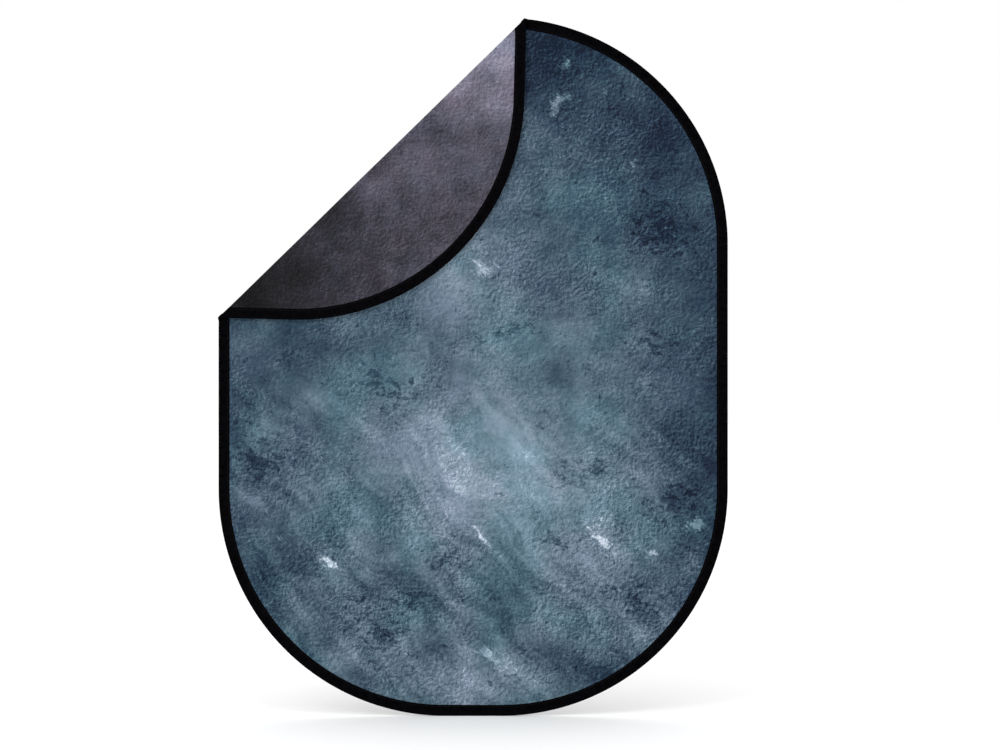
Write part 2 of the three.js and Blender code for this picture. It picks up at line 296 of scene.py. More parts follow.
def tape_section():
    """The binding's section: a channel round the hoop, then two leaves with the seam drawn in."""
    slope = np.linspace(RIM_REACH, TAPE_TUCK, 7)
    drop = (RIM_HALF - TAPE_HALF) * (0.5 + 0.5 * np.cos(np.linspace(0, math.pi, 7)))
    shoulder = [math.radians(a) for a in (10, 35, 60, 90)]
    rim = [(3 * MM * (1 - math.cos(a)), RIM_HALF - 3 * MM * (1 - math.sin(a))) for a in shoulder]
    leaf = [
        (SEAM_INSET - 4 * MM, TAPE_HALF + 0.1 * MM),
        (SEAM_INSET - 1.2 * MM, TAPE_HALF),
        (SEAM_INSET, TAPE_HALF - 0.2 * MM),
        (SEAM_INSET + 1.2 * MM, TAPE_HALF),
        (SEAM_INSET + 3 * MM, TAPE_HALF + 0.1 * MM),
        (TAPE_WIDTH - 0.3 * MM, TAPE_HALF),
        (TAPE_WIDTH, TAPE_HALF - 0.25 * MM),
    ]
    outside = rim + list(zip(slope, TAPE_HALF + drop)) + leaf
    inside = [(TAPE_WIDTH, TAPE_HALF - TAPE_THICK)]
    inside += [(i, TAPE_HALF - TAPE_THICK + d) for i, d in zip(slope[::-1], drop[::-1])]
    inside += [(TAPE_THICK, RIM_HALF - TAPE_THICK)]
    half = outside + inside
    mirrored = [(i, -y) for i, y in half]
    return outside + inside + mirrored[::-1]


def hoop_section():
    """The spring band's section, with its edges eased."""
    near, far = HOOP_INSETS
    ease_by = 0.3 * MM
    right = [(near + ease_by, HOOP_HALF), (far - ease_by, HOOP_HALF), (far, HOOP_HALF - ease_by)]
    left = [(far, ease_by - HOOP_HALF), (far - ease_by, -HOOP_HALF), (near + ease_by, -HOOP_HALF)]
    return [*right, *left, (near, ease_by - HOOP_HALF), (near, HOOP_HALF - ease_by)]


# ---------------------------------------------------------------- nodes and colours
def linear(colour):
    """An sRGB hex colour as linear red, green, blue and alpha."""
    channels = [int(colour[k:k + 2], 16) / 255 for k in (1, 3, 5)]
    return (*[c / 12.92 if c <= 0.04045 else ((c + 0.055) / 1.055) ** 2.4 for c in channels], 1)


def add(tree, kind, inputs=None, stops=(), **settings):
    """Add a node with its settings, input values, links and colour stops.

    An input given as a node is linked to that node's first output. Stops are (place, hex colour).
    """
    node = tree.nodes.new(kind)
    for key, value in settings.items():
        setattr(node, key, value)
    for key, value in (inputs or {}).items():
        if isinstance(value, bpy.types.Node):
            value = value.outputs[0]
        if isinstance(value, bpy.types.NodeSocket):
            tree.links.new(value, node.inputs[key])
        else:
            node.inputs[key].default_value = value
    for k, (place, colour) in enumerate(stops):
        elements = node.color_ramp.elements
        element = elements[k] if k < 2 else elements.new(place)
        element.position = place
        element.color = linear(colour)
    return node


def new_material(name, **constants):
    """An empty material with its shader, whose constant sockets are set directly."""
    material = bpy.data.materials.new(name)
    material.use_nodes = True
    tree = material.node_tree
    shader = tree.nodes["Principled BSDF"]
    for key, value in constants.items():
        shader.inputs[key.replace("_", " ")].default_value = value
    return material, tree, shader


# ---------------------------------------------------------------- stitches
def seam_path(name, start, end, rolls):
    """Both faces' seam lines over a run of lengths, as edges for the stitches to follow."""
    bm = bmesh.new()
    steps = round((end - start) / (2 * MM))
    places, inward = edge_point(np.linspace(start, end, steps + 1))
    plan = places + SEAM_INSET * inward
    for y in (-TAPE_HALF, TAPE_HALF):
        flat = np.column_stack([plan[:, 0], np.full(len(plan), y), plan[:, 1]])
        row = [bm.verts.new(place) for place in (folded(flat) if rolls else flat)]
        for first, second in zip(row, row[1:]):
            bm.edges.new((first, second))
    mesh = bpy.data.meshes.new(name)
    bm.to_mesh(mesh)
    bm.free()
    piece = bpy.data.objects.new(name, mesh)
    bpy.context.scene.collection.objects.link(piece)
    return piece


def stitch_tree():
    """Lay short rounded lengths of thread end to end along a seam, with a gap where each dips."""
    tree = bpy.data.node_groups.new("lockstitch_row", "GeometryNodeTree")
    tree.interface.new_socket("Geometry", in_out="OUTPUT", socket_type="NodeSocketGeometry")
    tree.interface.new_socket("Seam", in_out="INPUT", socket_type="NodeSocketGeometry")
    for label in ("Stitch pitch", "Stitch length", "Thread diameter"):
        tree.interface.new_socket(label, in_out="INPUT", socket_type="NodeSocketFloat")
    tree.interface.new_socket("Thread", in_out="INPUT", socket_type="NodeSocketMaterial")
    given = add(tree, "NodeGroupInput")
    line = add(tree, "GeometryNodeMeshToCurve", {"Mesh": given.outputs["Seam"]})
    places = add(
        tree,
        "GeometryNodeCurveToPoints",
        {"Curve": line.outputs["Curve"], "Length": given.outputs["Stitch pitch"]},
        mode="LENGTH",
    )
    ball = add(tree, "GeometryNodeMeshUVSphere", {"Segments": 6, "Rings": 4, "Radius": 0.5})
    mapped = add(
        tree,
        "GeometryNodeStoreNamedAttribute",
        {"Geometry": ball.outputs["Mesh"], "Name": "Pattern", "Value": ball.outputs["UV Map"]},
        data_type="FLOAT2",
        domain="CORNER",
    )
    size = add(
        tree,
        "ShaderNodeCombineXYZ",
        {
            "X": given.outputs["Thread diameter"],
            "Y": given.outputs["Thread diameter"],
            "Z": given.outputs["Stitch length"],
        },
    )
    turned = add(
        tree,
        "FunctionNodeAlignRotationToVector",
        {"Vector": places.outputs["Tangent"]},
        axis="Z",
    )
    laid = add(
        tree,
        "GeometryNodeInstanceOnPoints",
        {
            "Points": places.outputs["Points"],
            "Instance": mapped.outputs["Geometry"],
            "Rotation": turned.outputs["Rotation"],
            "Scale": size.outputs["Vector"],
        },
    )
    real = add(tree, "GeometryNodeRealizeInstances", {"Geometry": laid.outputs["Instances"]})
    thread = add(
        tree,
        "GeometryNodeSetMaterial",
        {"Geometry": real.outputs["Geometry"], "Material": given.outputs["Thread"]},
    )
    add(tree, "NodeGroupOutput", {"Geometry": thread.outputs["Geometry"]})
    return tree


def stitches(name, tree, start, end, rolls, material):
    """One row of lockstitch on each face of the binding, turned into a plain mesh."""
    path = seam_path(name + "_seam", start, end, rolls)
    modifier = path.modifiers.new("Stitches", "NODES")
    modifier.node_group = tree
    values = {
        "Stitch pitch": 4.4 * MM,
        "Stitch length": 3.4 * MM,
        "Thread diameter": 0.7 * MM,
        "Thread": material,
    }
    for item in tree.interface.items_tree:
        if item.in_out == "INPUT" and item.name in values:
            modifier[item.identifier] = values[item.name]
    evaluated = path.evaluated_get(bpy.context.evaluated_depsgraph_get())
    mesh = bpy.data.meshes.new_from_object(evaluated)
    piece = bpy.data.objects.new(name, mesh)
    bpy.context.scene.collection.objects.link(piece)
    bpy.data.objects.remove(path)
    mesh.shade_smooth()
    return piece


# ---------------------------------------------------------------- patterns
# Distance between the bands of a wave texture of scale 1
WAVE_PERIOD = math.pi / 10


def patches(tree, place, spots):
    """Sum of soft oval patches, each (x, z, half length, half width, turn in degrees, strength)."""
    total = 0.0
    for x, z, long, wide, turn, strength in spots:
        spot = add(
            tree,
            "ShaderNodeMapping",
            {
                "Vector": place,
                "Location": (x, z, 0),
                "Rotation": (0, 0, math.radians(turn)),
                "Scale": (long, wide, 1),
            },
            vector_type="TEXTURE",
        )
        glow = add(tree, "ShaderNodeTexGradient", {"Vector": spot}, gradient_type="QUADRATIC_SPHERE")
        total = add(
            tree,
            "ShaderNodeMath",
            {0: glow.outputs["Fac"], 1: strength, 2: total},
            operation="MULTIPLY_ADD",
        )
    return total


def brush_marks(tree, place, size_mm, stretch, turn, detail, rough):
    """Noise about a half, drawn out along a turned direction as a dry brush leaves it."""
    turned = add(
        tree,
        "ShaderNodeMapping",
        {"Vector": place, "Rotation": (0, 0, math.radians(turn)), "Scale": (stretch, 1, 1)},
        vector_type="TEXTURE",
    )
    return add(
        tree,
        "ShaderNodeTexNoise",
        {"Vector": turned, "Scale": 1 / (size_mm * MM), "Detail": detail, "Roughness": rough},
        noise_dimensions="2D",
    )


def warped_place(tree, amount, size_mm):
    """The pattern map, bent by slow noise so that the listed patches lose their ovals."""
    place = add(tree, "ShaderNodeUVMap", uv_map="Pattern")
    drift = add(
        tree,
        "ShaderNodeTexNoise",
        {"Vector": place, "Scale": 1 / (size_mm * MM), "Detail": 3.0, "Roughness": 0.55},
        noise_dimensions="2D",
    )
    centred = add(
        tree,
        "ShaderNodeVectorMath",
        {0: drift.outputs["Color"], 1: (0.5, 0.5, 0.5)},
        operation="SUBTRACT",
    )
    bent = add(
        tree,
        "ShaderNodeVectorMath",
        {0: centred, 1: (amount, amount, 0), 2: place},
        operation="MULTIPLY_ADD",
    )
    return place, bent


def crinkled_place(tree, place, size_mm, amount):
    """The pattern map with a small crinkle only, for marks that must stay where they are."""
    drift = add(
        tree,
        "ShaderNodeTexNoise",
        {"Vector": place, "Scale": 1 / (size_mm * MM), "Detail": 3.0, "Roughness": 0.6},
        noise_dimensions="2D",
    )
    bent = add(
        tree,
        "ShaderNodeVectorMath",
        {0: drift.outputs["Color"], 1: (amount, amount, 0), 2: place},
        operation="MULTIPLY_ADD",
    )
    return add(
        tree,
        "ShaderNodeVectorMath",
        {0: bent, 1: (amount / 2, amount / 2, 0)},
        operation="SUBTRACT",
    )


def relief(tree, place, size_mm, shift_mm):
    """Painted relief: a grain less the same grain a little lower right, so it seems lit from upper left."""
    shifted = add(
        tree,
        "ShaderNodeVectorMath",
        {0: place, 1: (shift_mm * MM, -shift_mm * MM, 0)},
        operation="ADD",
    )
    here, there = (
        add(
            tree,
            "ShaderNodeTexNoise",
            {"Vector": spot, "Scale": 1 / (size_mm * MM), "Detail": 4.0, "Roughness": 0.65},
            noise_dimensions="2D",
        )
        for spot in (place, shifted)
    )
    return add(tree, "ShaderNodeMath", {0: here, 1: there}, operation="SUBTRACT"), here


def weave(tree, place):
    """Crossing threads of the cloth, 0 in the gaps and 1 on top. Real ones are 0.3 mm apart; these are
    drawn at 1.6 mm so that they show."""
    across, up = (
        add(
            tree,
            "ShaderNodeTexWave",
            {"Vector": place, "Scale": WAVE_PERIOD / (1.6 * MM), "Distortion": 1.2, "Detail": 1.0},
            bands_direction=way,
        )
        for way in ("X", "Y")
    )
    threads = {0: across.outputs["Fac"], 1: up.outputs["Fac"]}
    return add(tree, "ShaderNodeMath", threads, operation="MULTIPLY")


def brushed_cloth(tree, shader, threads, print_relief):
    """Nap of brushed polyester: the threads stand a little proud and catch less gloss in the gaps."""
    height = add(
        tree, "ShaderNodeMath", {0: print_relief, 1: 0.5, 2: threads}, operation="MULTIPLY_ADD"
    )
    bump = add(tree, "ShaderNodeBump", {"Strength": 0.3, "Distance": 0.3 * MM, "Height": height})
    tree.links.new(bump.outputs["Normal"], shader.inputs["Normal"])
    rough = add(
        tree,
        "ShaderNodeMapRange",
        {"Value": threads, "From Min": 0, "From Max": 1, "To Min": 0.92, "To Max": 0.78},
    )
    tree.links.new(rough.outputs["Result"], shader.inputs["Roughness"])


# ---------------------------------------------------------------- the two prints
# Soft lighter and darker areas of the blue-grey print, each
# (x, z, half length, half width, turn in degrees, strength), placed on the unfolded panel
BLUE_TONES = [
    (0.05, 0.70, 0.74, 0.52, -24, 0.32),
    (0.14, 0.64, 0.46, 0.30, -32, 0.14),
    (0.26, 0.90, 0.40, 0.28, 0, 0.08),
    (-0.22, 0.80, 0.36, 0.24, -10, 0.07),
    (-0.04, 1.30, 0.28, 0.46, 12, 0.22),
    (0.24, 1.98, 0.60, 0.42, -30, -0.53),
    (0.60, 1.62, 0.62, 0.60, 0, -0.34),
    (0.84, 0.85, 0.46, 1.20, 0, -0.66),
    (-0.86, 1.00, 0.46, 0.80, 0, -0.42),
    (-0.48, 1.12, 0.34, 0.22, 0, -0.20),
    (-0.62, 0.42, 0.34, 0.24, -40, -0.28),
    (0.05, 0.10, 0.38, 0.24, 0, 0.26),
    (-0.36, 0.16, 0.16, 0.12, 0, 0.22),
    (0.36, 0.12, 0.26, 0.18, -40, -0.34),
    (0.40, 0.40, 0.30, 0.20, 30, 0.14),
    # Soft diagonal strokes
    (0.02, 0.52, 0.26, 0.035, -56, 0.18),
    (0.10, 0.47, 0.26, 0.035, -54, -0.16),
    (0.20, 0.46, 0.30, 0.045, -48, 0.14),
    (-0.06, 0.40, 0.24, 0.035, -58, -0.18),
    (-0.13, 0.44, 0.22, 0.030, -60, 0.14),
    (0.16, 0.30, 0.28, 0.050, -46, -0.14),
    (0.08, 0.20, 0.22, 0.045, -50, 0.22),
    (0.32, 0.30, 0.30, 0.050, -44, 0.12),
    (0.02, 1.44, 0.22, 0.040, 62, 0.16),
    (0.14, 0.76, 0.30, 0.050, -38, 0.14),
    (-0.10, 0.86, 0.24, 0.040, -42, 0.12),
]
# Flakes of pale plaster showing through the blue
PALE_FLECKS = [
    (0.250, 1.806, 0.105, 0.042, 42, 1.4),
    (0.276, 1.925, 0.100, 0.034, 36, 0.75),
    (0.030, 1.318, 0.095, 0.070, 20, 0.85),
    (0.374, 0.518, 0.095, 0.032, -38, 1.2),
    (0.374, 0.574, 0.030, 0.016, -30, 1.1),
    (0.657, 0.562, 0.080, 0.050, 20, 1.1),
    (0.527, 0.474, 0.036, 0.022, 0, 1.1),
    (-0.422, 0.450, 0.080, 0.032, -25, 1.3),
    (0.050, 0.179, 0.110, 0.060, -36, 0.95),
    (-0.05, 0.33, 0.070, 0.040, -40, 0.7),
    (0.02, 0.53, 0.120, 0.024, -52, 1.0),
    (0.47, 1.62, 0.070, 0.030, 15, 0.7),
    (0.09, 1.63, 0.050, 0.028, -20, 0.8),
    (-0.55, 0.53, 0.060, 0.030, 0, 0.7),
]
# Clusters of dark chips and scuffs
DARK_CHIPS = [
    (0.329, 0.715, 0.170, 0.075, 12, 0.9),
    (-0.083, 0.503, 0.110, 0.060, -30, 0.8),
    (-0.077, 0.444, 0.080, 0.040, 0, 0.8),
    (-0.186, 0.341, 0.150, 0.070, 12, 0.9),
    (-0.260, 0.238, 0.170, 0.120, 0, 0.9),
    (-0.33, 0.34, 0.070, 0.080, 0, 0.8),
    (-0.628, 0.754, 0.200, 0.140, -20, 0.9),
    (0.580, 0.636, 0.200, 0.110, 10, 0.8),
    (0.25, 0.51, 0.150, 0.060, -20, 0.7),
    (-0.24, 0.95, 0.220, 0.110, -40, 0.8),
    (0.12, 1.14, 0.200, 0.070, 10, 0.7),
    (0.48, 0.33, 0.180, 0.090, -20, 0.8),
    (0.56, 1.42, 0.200, 0.160, -30, 0.9),
    (0.52, 1.09, 0.160, 0.120, 0, 0.7),
    (0.12, 0.10, 0.120, 0.060, 0, 0.6),
]
# Where the brush was dragged level, below the top
LEVEL_SCRATCHES = [
    (0.28, 1.66, 0.42, 0.14, -6, 1.0),
    (0.42, 1.85, 0.30, 0.16, -10, 0.5),
]
# Where the plaster grain is trowelled smoother (below 0) or left rougher (above 0)
GRAIN_AREAS = [
    (0.10, 0.92, 0.62, 0.52, 0, -0.55),
    (-0.50, 0.98, 0.42, 0.46, 0, -0.40),
    (0.44, 0.34, 0.50, 0.38, -40, 0.60),
    (-0.30, 0.30, 0.46, 0.30, 20, 0.35),
    (0.44, 1.66, 0.52, 0.44, -20, 0.35),
]


def blue_print():
    """Brushed polyester, dye-sublimation printed: matt, with painted-plaster clouds in blue-grey."""
    material, tree, shader = new_material(
        "brushed_polyester_blue_print", IOR=1.45, Specular_IOR_Level=0.15
    )
    place, bent = warped_place(tree, 0.16, 260)
    near = crinkled_place(tree, place, 40, 0.05)
    height = add(tree, "ShaderNodeSeparateXYZ", {0: place}).outputs["Y"]
    tone = patches(tree, bent, BLUE_TONES)
    clouds = add(
        tree,
        "ShaderNodeTexNoise",
        {"Vector": place, "Scale": 1 / (150 * MM), "Detail": 7.0, "Roughness": 0.66},
        noise_dimensions="2D",
    )
    tone = add(tree, "ShaderNodeMath", {0: clouds, 1: 0.74, 2: tone}, operation="MULTIPLY_ADD")
    # Drag marks of a wide brush, running down to the right over the lower half
    low_half = add(
        tree,
        "ShaderNodeMapRange",
        {"Value": height, "From Min": 1.30, "From Max": 0.55, "To Min": 0.03, "To Max": 0.55},
        interpolation_type="SMOOTHSTEP",
    )
    drags = brush_marks(tree, bent, 34, stretch=7, turn=-48, detail=4.0, rough=0.62)
    drags = add(tree, "ShaderNodeMath", {0: drags, 1: 0.5}, operation="SUBTRACT")
    tone = add(tree, "ShaderNodeMath", {0: drags, 1: low_half, 2: tone}, operation="MULTIPLY_ADD")
    # Level scratches of a dry brush
    scratches = brush_marks(tree, near, 9, stretch=9, turn=-4, detail=4.0, rough=0.7)
    scratches = add(tree, "ShaderNodeMath", {0: scratches, 1: 0.5}, operation="SUBTRACT")
    scratched = patches(tree, bent, LEVEL_SCRATCHES)
    scratched = add(tree, "ShaderNodeMath", {0: scratched, 1: 0.9}, operation="MULTIPLY")
    tone = add(
        tree, "ShaderNodeMath", {0: scratches, 1: scratched, 2: tone}, operation="MULTIPLY_ADD"
    )
    # Crinkled plaster grain about 10 mm across, stronger in some places than in others, with painted light
    # and shade on its relief as if lit from upper left
    grain_and_painted_light, crinkle = relief(tree, crinkled_place(tree, place, 60, 0.03), 11, 3)
    coarseness = add(
        tree,
        "ShaderNodeTexNoise",
        {"Vector": place, "Scale": 1 / (170 * MM), "Detail": 3.0, "Roughness": 0.5},
        noise_dimensions="2D",
    )
    strength = add(
        tree,
        "ShaderNodeMapRange",
        {"Value": coarseness, "From Min": 0.38, "From Max": 0.62, "To Min": 0.42, "To Max": 0.92},
    )
    areas = patches(tree, bent, GRAIN_AREAS)
    strength = add(
        tree, "ShaderNodeMath", {0: strength, 1: areas}, operation="ADD", use_clamp=True
    )
    tone = add(tree, "ShaderNodeMath", {0: grain_and_painted_light, 1: strength, 2: tone}, operation="MULTIPLY_ADD")
    tone = add(tree, "ShaderNodeMath", {0: crinkle, 1: 0.26, 2: tone}, operation="MULTIPLY_ADD")
    # Chips and flakes, with edges broken by a streaky noise
    broken = brush_marks(tree, near, 18, stretch=2.6, turn=-12, detail=5.0, rough=0.72)
    chips = patches(tree, near, DARK_CHIPS)
    chips = add(tree, "ShaderNodeMath", {0: chips, 1: 0.30, 2: broken}, operation="MULTIPLY_ADD")
    chipped = add(
        tree,
        "ShaderNodeMapRange",
        {"Value": chips, "From Min": 0.63, "From Max": 0.69, "To Min": 0, "To Max": -0.24},
    )
    tone = add(tree, "ShaderNodeMath", {0: tone, 1: chipped}, operation="ADD")
    flakes = brush_marks(tree, place, 12, stretch=3.5, turn=-40, detail=5.0, rough=0.75)
    flecks = patches(tree, near, PALE_FLECKS)
    flecks = add(tree, "ShaderNodeMath", {0: flecks, 1: 0.50, 2: flakes}, operation="MULTIPLY_ADD")
    flecked = add(
        tree,
        "ShaderNodeMapRange",
        {"Value": flecks, "From Min": 0.68, "From Max": 0.90, "To Min": 0, "To Max": 0.46},
    )
    tone = add(tree, "ShaderNodeMath", {0: tone, 1: flecked}, operation="ADD")
    threads = weave(tree, place)
    # Painted shade in the gaps of the weave: the colour is lighter on the threads and darker between them
    tone = add(tree, "ShaderNodeMath", {0: threads, 1: 0.07, 2: tone}, operation="MULTIPLY_ADD")
    tone = add(tree, "ShaderNodeMath", {0: tone, 1: 0.178}, operation="SUBTRACT")
    # The darkest tones run to navy
    tone = add(
        tree,
        "ShaderNodeMapRange",
        {"Value": tone, "From Min": -0.15, "From Max": 1.05, "To Min": 0, "To Max": 1},
    )
    colour = add(
        tree,
        "ShaderNodeValToRGB",
        {"Fac": tone},
        stops=[
            (0.0, "#0e1827"),
            (0.12, "#1e2c3f"),
            (0.29, "#324554"),
            (0.46, "#4f6370"),
            (0.62, "#6b7d8b"),
            (0.79, "#8796a7"),
            (1.0, "#c4d0d9"),
        ],
    )
    hue = add(
        tree,
        "ShaderNodeTexNoise",
        {"Vector": place, "Scale": 1 / (230 * MM), "Detail": 3.0, "Roughness": 0.5},
        noise_dimensions="2D",
    )
    tint = add(
        tree,
        "ShaderNodeValToRGB",
        {"Fac": hue},
        stops=[(0.35, "#d8ffff"), (0.5, "#ffffff"), (0.65, "#fff2ff")],
    )
    mixed = add(
        tree,
        "ShaderNodeMix",
        {"Factor": 0.4, 6: colour, 7: tint},
        data_type="RGBA",
        blend_type="MULTIPLY",
    )
    tree.links.new(mixed.outputs[2], shader.inputs["Base Color"])
    brushed_cloth(tree, shader, threads, crinkle)
    return material


# Lighter and darker areas of the charcoal reverse print
CHARCOAL_TONES = [
    (-0.70, 1.25, 0.66, 0.56, 44, -0.66),
    (0.04, 2.00, 0.62, 0.50, 44, 0.46),
    (-0.25, 1.62, 0.50, 0.22, 44, 0.03),
    (-0.16, 1.80, 0.20, 0.09, -50, -0.14),
    (-0.20, 1.62, 0.16, 0.08, 10, 0.14),
    (-0.42, 1.50, 0.18, 0.08, 60, -0.10),
    (-0.30, 1.40, 0.14, 0.08, -20, 0.08),
    (0.45, 0.90, 0.60, 0.50, 20, 0.22),
    (-0.40, 0.60, 0.60, 0.40, -20, -0.16),
    (0.20, 0.25, 0.50, 0.30, 0, 0.16),
]
# Rusty brown stains of the same print
RUSTY_STAINS = [
    (-0.33, 1.46, 0.12, 0.07, 30, 1.0),
    (-0.12, 1.72, 0.10, 0.05, 44, 0.6),
    (0.40, 0.70, 0.22, 0.10, -30, 0.8),
    (-0.35, 0.35, 0.18, 0.10, 10, 0.7),
]


def charcoal_print():
    """Brushed polyester, dye-sublimation printed: matt, mottled charcoal with a purple cast."""
    material, tree, shader = new_material(
        "brushed_polyester_charcoal_print", IOR=1.45, Specular_IOR_Level=0.15
    )
    place, bent = warped_place(tree, 0.14, 220)
    tone = patches(tree, bent, CHARCOAL_TONES)
    clouds = add(
        tree,
        "ShaderNodeTexNoise",
        {"Vector": place, "Scale": 1 / (130 * MM), "Detail": 7.0, "Roughness": 0.66},
        noise_dimensions="2D",
    )
    tone = add(tree, "ShaderNodeMath", {0: clouds, 1: 0.78, 2: tone}, operation="MULTIPLY_ADD")
    # Pebbled plaster grain about 10 mm across, with painted light and shade on its relief as if lit from
    # upper left
    grain_and_painted_light, crinkle = relief(tree, crinkled_place(tree, place, 60, 0.03), 10, 2.5)
    tone = add(tree, "ShaderNodeMath", {0: grain_and_painted_light, 1: 0.60, 2: tone}, operation="MULTIPLY_ADD")
    tone = add(tree, "ShaderNodeMath", {0: crinkle, 1: 0.24, 2: tone}, operation="MULTIPLY_ADD")
    threads = weave(tree, place)
    # Painted shade in the gaps of the weave: the colour is lighter on the threads and darker between them
    tone = add(tree, "ShaderNodeMath", {0: threads, 1: 0.07, 2: tone}, operation="MULTIPLY_ADD")
    tone = add(tree, "ShaderNodeMath", {0: tone, 1: 0.16}, operation="SUBTRACT")
    tone = add(
        tree,
        "ShaderNodeMapRange",
        {"Value": tone, "From Min": -0.30, "From Max": 1.0, "To Min": 0, "To Max": 1},
    )
    colour = add(
        tree,
        "ShaderNodeValToRGB",
        {"Fac": tone},
        stops=[
            (0.0, "#0c0c0e"),
            (0.22, "#1c1c1f"),
            (0.40, "#2e2d34"),
            (0.55, "#45434e"),
            (0.71, "#5b5965"),
            (0.86, "#767384"),
            (1.0, "#8f8d9b"),
        ],
    )
    stains = patches(tree, bent, RUSTY_STAINS)
    stained = add(
        tree, "ShaderNodeMath", {0: stains, 1: 0.6}, operation="MULTIPLY", use_clamp=True
    )
    rusty = add(
        tree,
        "ShaderNodeMix",
        {"Factor": stained, 6: colour, 7: linear("#4c3c40")},
        data_type="RGBA",
    )
    hue = add(
        tree,
        "ShaderNodeTexNoise",
        {"Vector": place, "Scale": 1 / (120 * MM), "Detail": 3.0, "Roughness": 0.5},
        noise_dimensions="2D",
    )
    tint = add(
        tree,
        "ShaderNodeValToRGB",
        {"Fac": hue},
        stops=[(0.35, "#e8f6ff"), (0.5, "#ffffff"), (0.65, "#fff0f8")],
    )
    mixed = add(
        tree,
        "ShaderNodeMix",
        {"Factor": 0.5, 6: rusty.outputs[2], 7: tint},
        data_type="RGBA",
        blend_type="MULTIPLY",
    )
    tree.links.new(mixed.outputs[2], shader.inputs["Base Color"])
    brushed_cloth(tree, shader, threads, crinkle)
    return material


# ---------------------------------------------------------------- binding, thread and metals
def black_tape():
    """Woven polyester binding tape: deep matt black, ribbed across its width."""
    material, tree, shader = new_material(
        "woven_polyester_tape", IOR=1.5, Specular_IOR_Level=0.01
    )
    place = add(tree, "ShaderNodeUVMap", uv_map="Pattern")
    # Real ribs are about 1 mm apart; drawn at 3 mm so that they show
    ribs = add(
        tree,
        "ShaderNodeTexWave",
        {
            "Vector": place,
            "Scale": WAVE_PERIOD / (3 * MM),
            "Distortion": 0.6,
            "Detail": 2.0,
            "Detail Scale": 2.0,
        },
        bands_direction="X",
    ).outputs["Fac"]
    lint = add(
        tree,
        "ShaderNodeTexNoise",
        {"Vector": place, "Scale": 1 / (14 * MM), "Detail": 4.0, "Roughness": 0.6},
        noise_dimensions="2D",
    )
    # Colour from lint at random, and painted shade in the troughs between the ribs, which leaves their
    # crests lighter
    shade = add(tree, "ShaderNodeMath", {0: ribs, 1: 0.4, 2: lint}, operation="MULTIPLY_ADD")
    colour = add(
        tree,
        "ShaderNodeValToRGB",
        {"Fac": shade},
        stops=[(0.35, "#010101"), (0.75, "#050406"), (1.0, "#0a090b")],
    )
    tree.links.new(colour.outputs["Color"], shader.inputs["Base Color"])
    rough = add(tree, "ShaderNodeMapRange", {"Value": lint, "To Min": 0.7, "To Max": 0.95})
    tree.links.new(rough.outputs["Result"], shader.inputs["Roughness"])
    bump = add(tree, "ShaderNodeBump", {"Strength": 0.5, "Distance": 0.4 * MM, "Height": ribs})
    tree.links.new(bump.outputs["Normal"], shader.inputs["Normal"])
    return material


def black_thread():
    """Bonded polyester thread: black, a little glossier than the tape, twisted."""
    material, tree, shader = new_material(
        "bonded_polyester_thread", IOR=1.5, Roughness=0.5, Specular_IOR_Level=0.12
    )
    place = add(tree, "ShaderNodeUVMap", uv_map="Pattern")
    # Diagonal bands along the twist: painted sheen on the plies and painted shade in the grooves between
    # them
    twist_and_painted_sheen = add(
        tree,
        "ShaderNodeTexWave",
        {"Vector": place, "Scale": 1.6, "Distortion": 0.0},
        bands_direction="DIAGONAL",
    )
    colour = add(
        tree,
        "ShaderNodeValToRGB",
        {"Fac": twist_and_painted_sheen.outputs["Fac"]},
        stops=[(0.0, "#0e0d0f"), (1.0, "#232224")],
    )
    tree.links.new(colour.outputs["Color"], shader.inputs["Base Color"])
    return material


def rolled_metal(name, colours, rough, grain_mm, stretch):
    """Metal drawn or rolled to a soft gloss, with fine streaks along it."""
    material, tree, shader = new_material(name, Metallic=1.0)
    place = add(tree, "ShaderNodeTexCoord").outputs["Object"]
    streaks = add(tree, "ShaderNodeMapping", {"Vector": place, "Scale": (1 / stretch, 1, 1)})
    marks = add(
        tree,
        "ShaderNodeTexNoise",
        {"Vector": streaks, "Scale": 1 / (grain_mm * MM), "Detail": 4.0},
    )
    colour = add(tree, "ShaderNodeValToRGB", {"Fac": marks}, stops=colours)
    tree.links.new(colour.outputs["Color"], shader.inputs["Base Color"])
    worn = add(
        tree, "ShaderNodeMapRange", {"Value": marks, "To Min": rough[0], "To Max": rough[1]}
    )
    tree.links.new(worn.outputs["Result"], shader.inputs["Roughness"])
    bump = add(tree, "ShaderNodeBump", {"Strength": 0.15, "Distance": 0.05 * MM, "Height": marks})
    tree.links.new(bump.outputs["Normal"], shader.inputs["Normal"])
    return material


blue = blue_print()
charcoal = charcoal_print()
tape = black_tape()
thread = black_thread()
# Hardened spring steel, rolled and tempered: dark blue-brown oxide with a dull gloss
spring = rolled_metal(
    "tempered_spring_steel", [(0.3, "#4a4a4e"), (0.7, "#6d6a68")], (0.28, 0.45), 3, 12
)
# Zinc-plated mild steel, pressed: pale and slightly mottled
zinc = rolled_metal("zinc_plated_steel", [(0.3, "#9a9ea3"), (0.7, "#c2c6c8")], (0.3, 0.5), 5, 2)
# Bare aluminium, cold headed: bright with faint forming marks
rivet = rolled_metal("cold_headed_aluminium", [(0.3, "#bfc1c4"), (0.7, "#dcdde0")], (0.25, 0.4), 1, 1)

# ---------------------------------------------------------------- camera
camera_data = bpy.data.cameras.new("camera")
camera_data.lens = 85
camera_data.sensor_width = 36
camera = bpy.data.objects.new("camera", camera_data)
camera.location = (0.079, -6.958, 1.004)
camera.rotation_euler = (math.radians(90), 0, 0)
bpy.context.scene.collection.objects.link(camera)
bpy.context.scene.camera = camera

